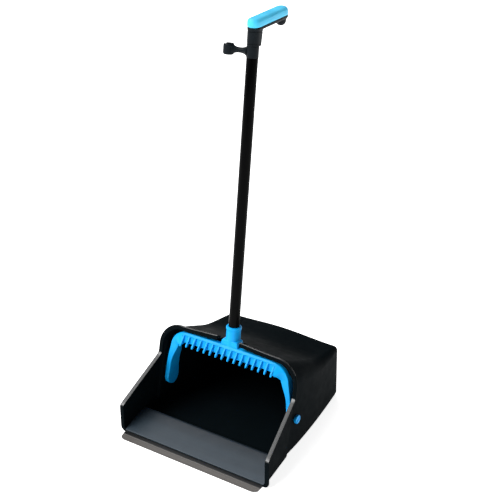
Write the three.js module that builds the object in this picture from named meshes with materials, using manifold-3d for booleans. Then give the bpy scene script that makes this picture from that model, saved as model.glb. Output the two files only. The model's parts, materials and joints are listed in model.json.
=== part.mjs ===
// Upright lobby dustpan with a comb yoke: a hooded hopper with a rubber lip, hung on a
// blue yoke that combs the broom clean, a leaning handle tube, a swivelling broom clip
// and a side grip. Millimetres, +Z up, +Y to the rear, the mouth faces -Y.
import * as THREE from 'three';
import { mergeVertices } from 'three/addons/utils/BufferGeometryUtils.js';
import Module from 'manifold-3d';

const wasm = await Module();
wasm.setup();

// ---- driving dimensions ----------------------------------------------------------
// Y is counted from the front edge of the side walls, and the whole group is moved back
// by ORIGIN_Y at the end, so that the origin is the middle of the footprint.
const ORIGIN_Y = 154.75;
const WALL = 2.6;
const GAP = 0.3;
// Half-width of cutting bodies that pass right through the pan.
const FAR = 180;

// hopper
const DEPTH = 332;
const MOUTH_HALF = 162;
const FRAME_END_Y = 88;
const FRAME_END_HALF = 153;
const FRAME_TOP_HALF = 149;
const FRAME_TOP_Z = 184;
const FRAME_CORNER_R = 43;
const HOOD_HALF = 149;
const HOOD_REAR_HALF = 130.7;
const HOOD_CORNER_R = 38;
const REAR_CORNER_R = 8;
// Behind bendY the sides bow inwards; from leanY the sections straighten up to the rear.
const HOOD = { bendY: 120, bow: 1.6, leanY: 60, taper: 2, startY: 64, step: 18 };
// The roof starts a step below the frame, falls steeply and then gently to the rear.
const ROOF_FRONT = { y: 139, z: 180.2, slope: 0.495 };
const ROOF_REAR = { y: 332, z: 114.9, slope: 0.155 };
const ROOF_KNEE = 4;
const REAR_ROUND = 6;
const FOOT_R = 11;
const CROWN = 5;
const FRAME_LEAN = 0.265;
// How far back a leaning section meets the roof, near enough to look its height up.
const LEAN_SHIFT = 30;

// mouth edge, seen from the side
const CHEEK_Z = 59;
const STRIP_END = { y: 113.5, z: 122 };
const RIM_LEAN = 0.195;
const RIM_TOP_Z = 205;
const FLANGE_OUT = 6;
const FLANGE_THICK = 3.6;

// The neck of the yoke leans against the back of this notch when the pan stands.
const NOTCH = { half: 25, backY: 157.6, round: 9 };

// ramp and rubber lip
const RAMP_FRONT_Z = 5.6;
const CREST = { y: 60, z: 24.5 };
const FRONT_BAR = 8.5;
const RIB_PITCH = 58;
const LIP_HALF = 155;
const LIP_PROUD = 22.5;
const LIP_THICK = 2.6;

// yoke and its pivot
const PIVOT = { y: 129.5, z: 68.6 };
const LEAN = THREE.MathUtils.degToRad(7.25);
const ARM_HALF = 143.2;
const YOKE_TOP_HALF = 134;
const YOKE_RISE = 108;
const YOKE_BACK = -4;
const YOKE_CORNER_R = 40;
const YOKE_BAND = 9.6;
const YOKE_DEPTH = 27.6;
const ARM_FOOT = { y: 1.5, z: -1.5, r: 17.5 };
// The arms run straight up to bendZ; their rear edge leans in between taperZ and crossbarZ.
const ARM = { bendZ: 20, taperZ: 55, crossbarZ: 88 };
const COMB = { half: 102, fade: 24, dropY: 19, dropZ: 18.5, thick: 3.6, sag: 5 };
const TOOTH_COUNT = 16;
const TOOTH_THICK = 3.2;
const PIN_R = 6.6;
const PIN_HEAD_R = 8.5;
const PIN_HEAD = 4.5;
const PIN_GRIP = 7;

// handle, measured along its own axis from the pivot
const TUBE_R = 10.5;
const TUBE_WALL = 0.9;
const TUBE_FROM = 104;
const SOCKET_R = 14.2;
const SOCKET_TOP = 146;
// The neck's sections, from the crossbar up: height above it, half-width, half-depth.
const NECK = [[-8, 20, 12.5], [4, 19, 12.5], [12, 15, 12.5]];
const SCREW = { r: 2, z: 126, headR: 3.6 };

// broom clip, which turns on the grip's spigot between the tube and the sleeve
const CLIP_FROM = 653;
const CLIP_TALL = 21;
const CLIP = { outR: 11, boreR: 8.4, reach: 45, neckR: 4.9, jawR: 10, jawBoreR: 6.6 };
const CLIP_TURN = THREE.MathUtils.degToRad(190);
const SLEEVE_TALL = 32.6;

// grip
const SPIGOT_TALL = 32;
const GRIP_HALF = 12.4;
const GRIP_REACH = 89;
const TRAY_TALL = 6.2;
const CAP_TALL = 14.6;
const SEAT = { inset: 3, tall: 5 };
const POMMEL_R = 9.8;
const ARM_RISE = THREE.MathUtils.degToRad(1.2);

// ---- materials -------------------------------------------------------------------
const finish = (color, roughness, metalness = 0) =>
  new THREE.MeshStandardMaterial({ color, roughness, metalness });
const BLACK = finish(0x14171a, 0.45);
const BLUE = finish(0x1c9cf0, 0.4);
const CYAN = finish(0x45d2ff, 0.5);
const RUBBER = finish(0x4a4745, 0.8);
const PAINT = finish(0x0d0d0f, 0.3, 0.2);
const STEEL = finish(0xb8bcc0, 0.35, 1);

// ---- solids ----------------------------------------------------------------------
function solid(geometry) {
  const bare = geometry.index ? geometry.toNonIndexed() : geometry.clone();
  bare.deleteAttribute('normal');
  bare.deleteAttribute('uv');
  const merged = mergeVertices(bare, 1e-4);
  const index = merged.index.array;
  const kept = [];
  for (let i = 0; i < index.length; i += 3) {
    const [a, b, c] = index.slice(i, i + 3);
    if (a !== b && b !== c && c !== a) kept.push(a, b, c);
  }
  return new wasm.Manifold(
    new wasm.Mesh({
      numProp: 3,
      vertProperties: new Float32Array(merged.attributes.position.array),
      triVerts: new Uint32Array(kept),
    }),
  );
}

function named(name, body, material) {
  const mesh = body.getMesh();
  const geometry = new THREE.BufferGeometry();
  geometry.setAttribute('position', new THREE.BufferAttribute(mesh.vertProperties, 3));
  geometry.setIndex(new THREE.BufferAttribute(mesh.triVerts, 1));
  geometry.computeVertexNormals();
  const result = new THREE.Mesh(geometry, material);
  result.name = name;
  return result;
}

// A closed skin over rings of equal point count, with a fan over each end.
function loft(rings) {
  const count = rings[0].length;
  const points = rings.flat();
  const faces = [];
  for (let r = 0; r + 1 < rings.length; r += 1) {
    for (let i = 0; i < count; i += 1) {
      const a = r * count + i;
      const b = r * count + ((i + 1) % count);
      faces.push(a, b, a + count, b, b + count, a + count);
    }
  }
  for (const [ring, flip] of [[0, true], [rings.length - 1, false]]) {
    const centre = new THREE.Vector3();
    rings[ring].forEach((p) => centre.addScaledVector(p, 1 / count));
    const hub = points.push(centre) - 1;
    for (let i = 0; i < count; i += 1) {
      const a = ring * count + i;
      const b = ring * count + ((i + 1) % count);
      faces.push(hub, flip ? b : a, flip ? a : b);
    }
  }
  const geometry = new THREE.BufferGeometry().setFromPoints(points);
  geometry.setIndex(faces);
  const body = solid(geometry);
  if (body.volume() > 0) return body;
  geometry.setIndex(faces.reverse());
  return solid(geometry);
}

// An outline in the Y-Z plane, pulled along X from x0 to x1.
function sideExtrude(outline, x0, x1) {
  const shape = new THREE.Shape(outline.map(([y, z]) => new THREE.Vector2(y, z)));
  const geometry = new THREE.ExtrudeGeometry(shape, { depth: x1 - x0, bevelEnabled: false });
  geometry.applyMatrix4(new THREE.Matrix4().set(0, 0, 1, x0, 1, 0, 0, 0, 0, 1, 0, 0, 0, 0, 0, 1));
  return solid(geometry);
}

// A THREE.Shape in the X-Z plane, pulled along Y from y0 to y1.
function frontExtrude(shape, y0, y1, curveSegments = 12) {
  const geometry = new THREE.ExtrudeGeometry(shape, {
    depth: y1 - y0,
    bevelEnabled: false,
    curveSegments,
  });
  geometry.applyMatrix4(new THREE.Matrix4().set(1, 0, 0, 0, 0, 0, -1, y1, 0, 1, 0, 0, 0, 0, 0, 1));
  return solid(geometry);
}

// A THREE.Shape in the X-Y plane, pulled up from z0 to z1.
function planExtrude(shape, z0, z1, curveSegments = 12) {
  const geometry = new THREE.ExtrudeGeometry(shape, {
    depth: z1 - z0,
    bevelEnabled: false,
    curveSegments,
  });
  geometry.translate(0, 0, z0);
  return solid(geometry);
}

function box(x0, x1, y0, y1, z0, z1) {
  const geometry = new THREE.BoxGeometry(x1 - x0, y1 - y0, z1 - z0);
  geometry.translate((x0 + x1) / 2, (y0 + y1) / 2, (z0 + z1) / 2);
  return solid(geometry);
}

// A turned piece: profile points are [radius, height], turned about +Z.
function turned(profile, segments = 40) {
  const geometry = new THREE.LatheGeometry(
    profile.map(([r, z]) => new THREE.Vector2(r, z)),
    segments,
  );
  geometry.rotateX(Math.PI / 2);
  return solid(geometry);
}

function rod(radius, z0, z1, segments = 40) {
  return turned([[0, z0], [radius, z0], [radius, z1], [0, z1]], segments);
}

const AXIS_X = new THREE.Matrix4().makeRotationY(Math.PI / 2);

function moved(body, matrix) {
  return body.transform(matrix.toArray());
}

function at(x, y, z) {
  return new THREE.Matrix4().makeTranslation(x, y, z);
}

// Handle parts are drawn upright about the pivot and then laid back with the tube.
const HANDLE = at(0, PIVOT.y, PIVOT.z).multiply(new THREE.Matrix4().makeRotationX(-LEAN));

// ---- hopper ----------------------------------------------------------------------
// One cross-section of the pan: flat foot, rounded foot corners, straight sides, large
// shoulders and a crowned roof. y runs back with height by the lean of the section.
function panRing({ y, lean, half, topHalf, top, shoulder, foot, floor }) {
  const right = [];
  const arc = (cx, cz, r, from, to, steps) => {
    for (let i = 0; i <= steps; i += 1) {
      const a = THREE.MathUtils.degToRad(from + ((to - from) * i) / steps);
      right.push([cx + r * Math.cos(a), cz + r * Math.sin(a)]);
    }
  };
  arc(half - foot, floor + foot, foot, -90, 0, 4);
  arc(topHalf - shoulder, top - shoulder, shoulder, 0, 90, 9);
  const flat = topHalf - shoulder;
  for (let i = 1; i <= 5; i += 1) {
    const x = flat * (1 - i / 6);
    right.push([x, top + (CROWN * (1 + Math.cos((Math.PI * x) / flat))) / 2]);
  }
  const left = right.map(([x, z]) => [-x, z]).reverse();
  return [...right, ...left].map(([x, z]) => new THREE.Vector3(x, y + lean * z, z));
}

const mix = THREE.MathUtils.lerp;

// The flared frame at the mouth; grow is positive outwards.
function frameRing(s, grow, floor) {
  return panRing({
    y: FRAME_END_Y * s,
    lean: FRAME_LEAN * Math.max(0, s),
    half: mix(MOUTH_HALF, FRAME_END_HALF, s) + grow,
    topHalf: mix(MOUTH_HALF, FRAME_TOP_HALF, s) + grow,
    top: FRAME_TOP_Z + grow,
    shoulder: FRAME_CORNER_R + grow,
    foot: FOOT_R,
    floor,
  });
}

function frameBody(grow, floor, from, to, steps = 6) {
  const rings = [];
  for (let i = 0; i <= steps; i += 1) {
    rings.push(frameRing(mix(from, to, i / steps), grow, floor));
  }
  return loft(rings);
}

// The hood behind the frame: its sides bow and close in, its roof falls to the rear.
function roofHeight(y) {
  const front = ROOF_FRONT.z - ROOF_FRONT.slope * (y - ROOF_FRONT.y);
  const rear = ROOF_REAR.z - ROOF_REAR.slope * (y - ROOF_REAR.y);
  return rear + ROOF_KNEE * Math.log1p(Math.exp((front - rear) / ROOF_KNEE));
}

function hoodRing(y, grow, floor, inset = 0) {
  const back = Math.max(0, (y - HOOD.bendY) / (DEPTH - HOOD.bendY));
  const along = (y - HOOD.leanY) / (DEPTH - HOOD.leanY);
  const lean = FRAME_LEAN * (1 - along);
  const half = HOOD_HALF - (HOOD_HALF - HOOD_REAR_HALF) * back ** HOOD.bow + grow - inset;
  return panRing({
    y,
    lean,
    half,
    topHalf: half - HOOD.taper,
    top: roofHeight(y + lean * roofHeight(y + LEAN_SHIFT)) + grow - inset,
    shoulder: mix(HOOD_CORNER_R, REAR_CORNER_R, along) + grow - inset / 2,
    foot: FOOT_R - 1,
    floor: floor + inset * 0.4,
  });
}

function hoodBody(grow, floor) {
  const rings = [];
  const rear = DEPTH + grow;
  for (let y = HOOD.startY; y < rear - HOOD.step + 4; y += HOOD.step) {
    rings.push(hoodRing(y, grow, floor));
  }
  for (let i = 0; i <= 4; i += 1) {
    const a = (i * Math.PI) / 8;
    const inset = REAR_ROUND * (1 - Math.cos(a));
    rings.push(hoodRing(rear - REAR_ROUND * (1 - Math.sin(a)), grow, floor, inset));
  }
  return loft(rings);
}

// Everything in front of and above the mouth edge, set back by depth.
function mouthCut(depth) {
  const rimY = (z) => STRIP_END.y + (z - STRIP_END.z) * RIM_LEAN;
  const rise = STRIP_END.z - CHEEK_Z;
  const down = depth * Math.hypot(1, rise / STRIP_END.y);
  return sideExtrude(
    [
      [-40, -20],
      [depth, -20],
      [depth, CHEEK_Z - down + (depth * rise) / STRIP_END.y],
      [STRIP_END.y + depth * 0.9, STRIP_END.z - down + 0.9 * depth * (rise / STRIP_END.y)],
      [rimY(RIM_TOP_Z) + depth, RIM_TOP_Z],
      [-40, RIM_TOP_Z + 40],
    ],
    -FAR,
    FAR,
  );
}

function hopper() {
  const inner = frameBody(-WALL, WALL, -0.2, 0.965).add(hoodBody(-WALL, WALL));
  const flangeZone = mouthCut(FLANGE_THICK).subtract(mouthCut(0));
  const flange = frameBody(FLANGE_OUT, 0, -0.1, 1.1).intersect(flangeZone);
  let body = frameBody(0, 0, -0.1, 1).add(hoodBody(0, 0)).subtract(mouthCut(0));
  body = body.add(flange).subtract(inner);

  const ramp = sideExtrude(
    [
      [0, 0],
      [0, RAMP_FRONT_Z],
      [CREST.y - 2, CREST.z],
      [CREST.y + 1, CREST.z],
      [CREST.y + 3.5, 0],
    ],
    -FAR,
    FAR,
  ).intersect(frameBody(-WALL / 2, 0, 0, 1));
  const rampHollow = sideExtrude(
    [
      [FRONT_BAR, -1],
      [FRONT_BAR, RAMP_FRONT_Z + 0.2],
      [CREST.y - 2, CREST.z - WALL],
      [CREST.y + 0.2, -1],
    ],
    -FAR,
    FAR,
  ).intersect(frameBody(-WALL - 0.2, -6, 0, 1));
  const ribs = [-1.5, -0.5, 0.5, 1.5].map((place) =>
    sideExtrude(
      [
        [FRONT_BAR + 8, 1],
        [FRONT_BAR + 8, RAMP_FRONT_Z + 2],
        [CREST.y - 1, CREST.z - 1],
        [CREST.y + 1, 1],
      ],
      place * RIB_PITCH - 1,
      place * RIB_PITCH + 1,
    ),
  );
  body = body.add(ramp).subtract(rampHollow);
  ribs.forEach((rib) => {
    body = body.add(rib);
  });
  body = body.subtract(box(-LIP_HALF - GAP, LIP_HALF + GAP, -30, FRONT_BAR + 0.5, -1, LIP_THICK + GAP));

  const notch = new THREE.Shape();
  const corner = NOTCH.half - NOTCH.round;
  notch.moveTo(-NOTCH.half, 90);
  notch.lineTo(NOTCH.half, 90);
  notch.absarc(corner, NOTCH.backY - NOTCH.round, NOTCH.round, 0, Math.PI / 2);
  notch.absarc(-corner, NOTCH.backY - NOTCH.round, NOTCH.round, Math.PI / 2, Math.PI);
  notch.lineTo(-NOTCH.half, 90);
  body = body.subtract(planExtrude(notch, 150, 230, 6));

  const hole = moved(rod(PIN_R + GAP, -FAR, FAR), at(0, PIVOT.y, PIVOT.z).multiply(AXIS_X));
  return body.subtract(hole);
}

// ---- rubber lip ------------------------------------------------------------------
// A long blade under the front edge; its upturned bead hooks behind the front bar.
function rubberLip() {
  const top = LIP_THICK;
  return sideExtrude(
    [
      [-LIP_PROUD, 0],
      [FRONT_BAR + 4, 0],
      [FRONT_BAR + 4, 5.4],
      [FRONT_BAR + 0.9, 5.4],
      [FRONT_BAR + 0.9, top],
      [-1.5, top],
      [-2.5, top + 0.9],
      [-9.5, top + 0.6],
      [-10.5, top - 0.4],
      [-LIP_PROUD, 0.9],
    ],
    -LIP_HALF,
    LIP_HALF,
  );
}

// ---- yoke ------------------------------------------------------------------------
// Drawn upright with the pivot at the origin: X across, Z up the arms.
function yokeOutline(inset) {
  const top = YOKE_RISE - inset;
  const foot = ARM_HALF - inset;
  const head = YOKE_TOP_HALF - inset;
  const r = YOKE_CORNER_R - inset;
  const down = -YOKE_DEPTH;
  const outline = new THREE.Shape();
  outline.moveTo(-foot, down);
  outline.lineTo(foot, down);
  outline.lineTo(foot, ARM.bendZ);
  outline.lineTo(head, top - r);
  outline.absarc(head - r, top - r, r, 0, Math.PI / 2);
  outline.lineTo(-head + r, top);
  outline.absarc(-head + r, top - r, r, Math.PI / 2, Math.PI);
  outline.lineTo(-foot, ARM.bendZ);
  outline.lineTo(-foot, down);
  return outline;
}

// Side view of the arms: a full round foot about the pivot, narrowing upwards, with the
// rear of the crossbar cut away under the pan's roof.
function armSide() {
  const front = -YOKE_DEPTH / 2;
  const side = [[YOKE_BACK, FAR], [front, FAR], [front, ARM.taperZ]];
  for (let i = 0; i <= 16; i += 1) {
    const a = Math.PI * (1 + i / 16);
    side.push([ARM_FOOT.y + ARM_FOOT.r * Math.cos(a), ARM_FOOT.z + ARM_FOOT.r * Math.sin(a)]);
  }
  side.push([ARM_FOOT.r, ARM.taperZ], [YOKE_BACK, ARM.crossbarZ]);
  return sideExtrude(side, -FAR, FAR);
}

// Height of the yoke's outer edge at x, which follows its rounded corners.
function yokeTop(x) {
  const past = Math.max(0, Math.abs(x) - (YOKE_TOP_HALF - YOKE_CORNER_R));
  return YOKE_RISE - YOKE_CORNER_R + Math.sqrt(YOKE_CORNER_R ** 2 - past ** 2);
}

// The comb plate hangs forward and down from the front edge of the crossbar, and dies
// into the arms at both ends.
function combPlate() {
  const front = -YOKE_DEPTH / 2;
  const inside = front + 5;
  const rings = [];
  for (let x = -COMB.half - COMB.fade; x <= COMB.half + COMB.fade; x += COMB.fade / 4) {
    const gone = Math.max(0, Math.abs(x) - COMB.half) / COMB.fade;
    const reach = 1 - gone ** 2;
    const top = yokeTop(x) - 0.4 - gone;
    const tipY = front - (COMB.dropY - 5) * reach;
    const tipZ = top - COMB.dropZ - COMB.sag * Math.min(1, 2 * gone);
    rings.push(
      [
        [inside, top],
        [front, top],
        [tipY, tipZ],
        [tipY + 2, tipZ - COMB.thick],
        [inside, top - 10],
      ].map(([y, z]) => new THREE.Vector3(x, y, z)),
    );
  }
  return loft(rings);
}

// A comb rib on the plate; its tip stands proud of the plate's lower edge.
function tooth(x) {
  const front = -YOKE_DEPTH / 2;
  const top = yokeTop(x) - 0.4;
  const tipY = front - COMB.dropY + 5;
  const tipZ = top - COMB.dropZ;
  return sideExtrude(
    [
      [front - 2.4, top - 1.6],
      [tipY - 4.5, tipZ - 1],
      [tipY - 4.5, tipZ - 4],
      [tipY + 3, tipZ - 5],
      [front + 3, tipZ + 1],
    ],
    x - TOOTH_THICK / 2,
    x + TOOTH_THICK / 2,
  );
}

function yoke() {
  let body = frontExtrude(yokeOutline(0), -YOKE_DEPTH, YOKE_DEPTH)
    .subtract(frontExtrude(yokeOutline(YOKE_BAND), -YOKE_DEPTH - 1, YOKE_DEPTH + 1))
    .intersect(armSide());
  body = body.add(combPlate());
  for (let i = 0; i < TOOTH_COUNT; i += 1) {
    body = body.add(tooth(mix(-COMB.half, COMB.half, i / (TOOTH_COUNT - 1))));
  }
  const neck = loft(
    NECK.map(([rise, x, y]) => [
      new THREE.Vector3(x, -y, YOKE_RISE + rise),
      new THREE.Vector3(x, y, YOKE_RISE + rise),
      new THREE.Vector3(-x, y, YOKE_RISE + rise),
      new THREE.Vector3(-x, -y, YOKE_RISE + rise),
    ]),
  );
  const socket = turned([
    [0, TUBE_FROM - 4],
    [SOCKET_R, TUBE_FROM - 4],
    [SOCKET_R - 0.3, SOCKET_TOP - 7],
    [SOCKET_R + 0.7, SOCKET_TOP - 5.5],
    [SOCKET_R + 0.7, SOCKET_TOP - 1],
    [SOCKET_R - 0.3, SOCKET_TOP],
    [0, SOCKET_TOP],
  ]);
  body = body.add(neck).add(socket).subtract(rod(TUBE_R + GAP, TUBE_FROM, SOCKET_TOP + 10));
  for (const side of [-1, 1]) {
    const socketDepth = rod(PIN_R + GAP, ARM_HALF - PIN_GRIP - GAP, FAR);
    body = body.subtract(moved(socketDepth, new THREE.Matrix4().makeRotationY((side * Math.PI) / 2)));
  }
  const screwPath = new THREE.Matrix4().makeRotationX(-Math.PI / 2);
  return body.subtract(moved(rod(SCREW.r + GAP, 2, 40), at(0, 0, SCREW.z).multiply(screwPath)));
}

// ---- pivot pins ------------------------------------------------------------------
// Press-in pins: a slotted round head outside the pan and a shank blind in the arm.
function pivotPin(side) {
  const wallOut = HOOD_HALF + GAP;
  const nose = ARM_HALF - PIN_GRIP;
  const face = wallOut + PIN_HEAD;
  let pin = turned([
    [0, nose],
    [PIN_R - 1.2, nose],
    [PIN_R, nose + 1.2],
    [PIN_R, wallOut],
    [PIN_HEAD_R, wallOut],
    [PIN_HEAD_R, face - 1],
    [PIN_HEAD_R - 1, face],
    [0, face],
  ]);
  pin = pin.subtract(box(-1.1, 1.1, -PIN_HEAD_R - 1, PIN_HEAD_R + 1, face - 2, face + 1));
  const turn = new THREE.Matrix4().makeRotationY((side * Math.PI) / 2);
  return moved(pin, at(0, PIVOT.y, PIVOT.z).multiply(turn));
}

// ---- handle tube and its fixings -------------------------------------------------
function handleTube() {
  const inner = TUBE_R - TUBE_WALL;
  const wallSection = [
    [inner, TUBE_FROM + GAP],
    [TUBE_R, TUBE_FROM + GAP],
    [TUBE_R, CLIP_FROM - GAP],
    [inner, CLIP_FROM - GAP],
    [inner, TUBE_FROM + GAP],
  ];
  const hole = new THREE.Matrix4().makeRotationX(-Math.PI / 2);
  return turned(wallSection, 48).subtract(
    moved(rod(SCREW.r + GAP, 0, 20), at(0, 0, SCREW.z).multiply(hole)),
  );
}

// A plastic plug inside the foot of the tube, which gives the screw something to bite.
function tubePlug() {
  const r = TUBE_R - TUBE_WALL - GAP;
  const body = turned([
    [0, TUBE_FROM + 1],
    [r, TUBE_FROM + 1],
    [r, TUBE_FROM + 38],
    [r - 1.5, TUBE_FROM + 40],
    [0, TUBE_FROM + 40],
  ]);
  const hole = new THREE.Matrix4().makeRotationX(-Math.PI / 2);
  return body.subtract(moved(rod(SCREW.r + GAP, 0, 20), at(0, 0, SCREW.z).multiply(hole)));
}

// A pan-head screw along +Y: its shank starts at y0 and its head seats at y1.
function screw(z, y0, y1) {
  let body = turned([
    [0, y0],
    [0.5, y0],
    [SCREW.r, y0 + 2.5],
    [SCREW.r, y1],
    [SCREW.headR, y1],
    [SCREW.headR, y1 + 1.4],
    [SCREW.headR - 1.2, y1 + 2.3],
    [0, y1 + 2.3],
  ], 24);
  for (const [a, b] of [[0.45, 2.4], [2.4, 0.45]]) {
    body = body.subtract(box(-a, a, -b, b, y1 + 1, y1 + 4));
  }
  const lay = new THREE.Matrix4().makeRotationX(-Math.PI / 2);
  return moved(body, at(0, 0, z).multiply(lay));
}

// ---- broom clip ------------------------------------------------------------------
// A collar that turns on the grip's spigot, a necked stalk and a C-shaped jaw.
function broomClip() {
  const mid = CLIP_TALL / 2;
  const profile = [[0, 4], [9.2, 4]];
  for (let i = 0; i <= 12; i += 1) {
    const t = i / 12;
    const flare = Math.abs(2 * t - 1) ** 2.6;
    profile.push([CLIP.neckR + flare * (t < 0.5 ? 4.3 : 3.4), mix(9, CLIP.reach - 8.5, t)]);
  }
  profile.push([0, CLIP.reach - 8.5]);
  const stalk = moved(turned(profile, 24), at(0, 0, mid).multiply(AXIS_X));
  const collar = rod(CLIP.outR, 0, CLIP_TALL - GAP);
  const jaw = moved(
    turned([
      [0, 0.4],
      [CLIP.jawR - 1.5, 0.4],
      [CLIP.jawR, 1.6],
      [CLIP.jawR, CLIP_TALL - 3.5],
      [CLIP.jawR - 2.5, CLIP_TALL - 1],
      [0, CLIP_TALL - 1],
    ], 36),
    at(CLIP.reach, 0, 0),
  );
  const bite = moved(rod(CLIP.jawBoreR, -1, CLIP_TALL + 1, 32), at(CLIP.reach + 1, 0, 0));
  const mouth = box(CLIP.reach + 2, CLIP.reach + 14, -4.8, 4.8, -1, CLIP_TALL + 1);
  const body = collar
    .add(stalk)
    .add(jaw)
    .subtract(bite)
    .subtract(mouth)
    .subtract(rod(CLIP.boreR, -1, CLIP_TALL + 1));
  return moved(body, at(0, 0, CLIP_FROM).multiply(new THREE.Matrix4().makeRotationZ(CLIP_TURN)));
}

// ---- grip ------------------------------------------------------------------------
// Plan outline of the grip: round nose over the tube, round far end, along +Y.
function gripPlan(noseR, farR, reach) {
  const shape = new THREE.Shape();
  shape.absarc(0, 0, noseR, Math.PI, Math.PI * 2);
  shape.absarc(0, reach, farR, 0, Math.PI);
  shape.lineTo(-noseR, 0);
  return shape;
}

const GRIP_TOP = CLIP_FROM + CLIP_TALL + SLEEVE_TALL;
// The arm is nearly level while the tube leans, so it is tilted up from square.
const ARM_TILT = at(0, 0, GRIP_TOP).multiply(new THREE.Matrix4().makeRotationX(LEAN + ARM_RISE));

function gripBody() {
  const base = CLIP_FROM + CLIP_TALL;
  const rings = [];
  for (const [z, nose, back, far] of [
    [base, 11, 4.6, 11],
    [base + 2, 11.3, 5.4, 11.4],
    [GRIP_TOP - 2, 11.8, 7, 12],
  ]) {
    rings.push(
      gripPlan(nose, far, back)
        .extractPoints(10)
        .shape.slice(0, -1)
        .map((p) => new THREE.Vector3(p.x, p.y, z)),
    );
  }
  const sleeve = loft(rings);
  const trayPlan = gripPlan(GRIP_HALF, GRIP_HALF, GRIP_REACH);
  const seatPlan = gripPlan(GRIP_HALF - SEAT.inset, GRIP_HALF - SEAT.inset, GRIP_REACH);
  const tray = moved(planExtrude(trayPlan, -TRAY_TALL, -GAP), ARM_TILT);
  const seat = moved(planExtrude(seatPlan, -TRAY_TALL, SEAT.tall), ARM_TILT);
  const pommel = moved(
    turned([
      [0, -POMMEL_R], [4, -9], [7.2, -6.7], [9.2, -3.2], [POMMEL_R, 0],
      [POMMEL_R, 8], [0, 8],
    ], 32),
    ARM_TILT.clone().multiply(at(0, GRIP_REACH - 1, -TRAY_TALL - 3.5)),
  ).subtract(moved(planExtrude(gripPlan(40, 40, GRIP_REACH), -3, 30), ARM_TILT));
  const spigot = turned([
    [0, CLIP_FROM - SPIGOT_TALL],
    [TUBE_R - TUBE_WALL - GAP, CLIP_FROM - SPIGOT_TALL],
    [TUBE_R - TUBE_WALL - GAP, CLIP_FROM - 2 * GAP],
    [CLIP.boreR - GAP, CLIP_FROM - 2 * GAP],
    [CLIP.boreR - GAP, base + 2],
    [0, base + 2],
  ]);
  return sleeve.add(tray).add(seat).add(pommel).add(spigot);
}

// The soft cap sits over the seat and wraps its edge.
function gripCap() {
  const rings = [];
  const crown = [[0, 0], [1.5, -0.3], [8.5, 0], [12, 1.3], [13.8, 3.4], [CAP_TALL, 6.2]];
  for (const [z, inset] of crown) {
    rings.push(
      gripPlan(GRIP_HALF - inset, GRIP_HALF - inset, GRIP_REACH)
        .extractPoints(12)
        .shape.slice(0, -1)
        .map((p) => new THREE.Vector3(p.x, p.y, z)),
    );
  }
  const seatR = GRIP_HALF - SEAT.inset + GAP;
  const seat = planExtrude(gripPlan(seatR, seatR, GRIP_REACH), -1, SEAT.tall + GAP);
  return moved(loft(rings).subtract(seat), ARM_TILT);
}

// ---- the object ------------------------------------------------------------------
const dustpan = new THREE.Group();
dustpan.position.y = -ORIGIN_Y;

const pan = new THREE.Group();
pan.add(named('hopper', hopper(), BLACK));
pan.add(named('rubber_lip', rubberLip(), RUBBER));

const handle = new THREE.Group();
const laid = (name, body, material) => named(name, moved(body, HANDLE), material);
handle.add(laid('yoke', yoke(), BLUE));
handle.add(named('pivot_pin_right', pivotPin(1), BLUE));
handle.add(named('pivot_pin_left', pivotPin(-1), BLUE));
handle.add(laid('handle_tube', handleTube(), PAINT));
handle.add(laid('tube_plug', tubePlug(), BLACK));
handle.add(laid('socket_screw', screw(SCREW.z, 3, SOCKET_R + 0.4), STEEL));
handle.add(laid('broom_clip', broomClip(), BLACK));
handle.add(laid('grip_body', gripBody(), BLACK));
handle.add(laid('grip_cap', gripCap(), CYAN));

dustpan.add(pan);
dustpan.add(handle);

export default dustpan;
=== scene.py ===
"""Looks of the upright dustpan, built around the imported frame.

Pan pieces are worked out in millimetres: x across, y back from the hopper's front edge,
z up from the floor. Handle pieces are drawn upright in millimetres, z up from the pivot
along the tube, and are leaned back with it. Materials use metres.
"""

import json
import math

import bmesh
import bpy
from mathutils import Matrix, Vector

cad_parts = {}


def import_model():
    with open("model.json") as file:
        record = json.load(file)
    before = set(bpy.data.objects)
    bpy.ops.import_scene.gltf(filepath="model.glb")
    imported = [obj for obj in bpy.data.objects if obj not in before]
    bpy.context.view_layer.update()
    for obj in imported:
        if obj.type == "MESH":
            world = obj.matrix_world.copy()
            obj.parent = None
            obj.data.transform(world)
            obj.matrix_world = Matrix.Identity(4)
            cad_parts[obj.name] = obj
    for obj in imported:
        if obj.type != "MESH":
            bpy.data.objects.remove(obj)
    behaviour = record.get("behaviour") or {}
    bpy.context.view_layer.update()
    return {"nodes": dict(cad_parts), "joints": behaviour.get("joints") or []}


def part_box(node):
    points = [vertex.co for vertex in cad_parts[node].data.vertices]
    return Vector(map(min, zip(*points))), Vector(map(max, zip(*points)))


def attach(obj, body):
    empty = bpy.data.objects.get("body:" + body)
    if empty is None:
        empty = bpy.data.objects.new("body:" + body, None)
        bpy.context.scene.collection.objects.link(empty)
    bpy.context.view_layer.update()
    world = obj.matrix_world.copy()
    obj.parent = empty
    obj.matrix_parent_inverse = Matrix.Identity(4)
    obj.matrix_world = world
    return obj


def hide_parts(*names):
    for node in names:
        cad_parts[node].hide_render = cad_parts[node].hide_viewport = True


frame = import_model()

MM = 0.001

# ---- measures taken from the frame -------------------------------------------------
PAN_LOW, PAN_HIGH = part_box("hopper")
LIP_LOW, LIP_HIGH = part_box("rubber_lip")
JOINTS = {joint["name"]: joint for joint in frame["joints"]}
PIVOT = Vector(JOINTS["yoke_pivot"]["pos_m"])
TUBE_AXIS = Vector(JOINTS["clip_swivel"]["axis"])
CLIP_POINT = Vector(JOINTS["clip_swivel"]["pos_m"])
LEAN = math.atan2(TUBE_AXIS.y, TUBE_AXIS.z)

FRONT = PAN_LOW.y
DEPTH = (PAN_HIGH.y - FRONT) / MM
PAN = Matrix.Translation((0, FRONT, 0)) @ Matrix.Scale(MM, 4)
HANDLE = Matrix.Translation(PIVOT) @ Matrix.Rotation(-LEAN, 4, "X") @ Matrix.Scale(MM, 4)

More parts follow.
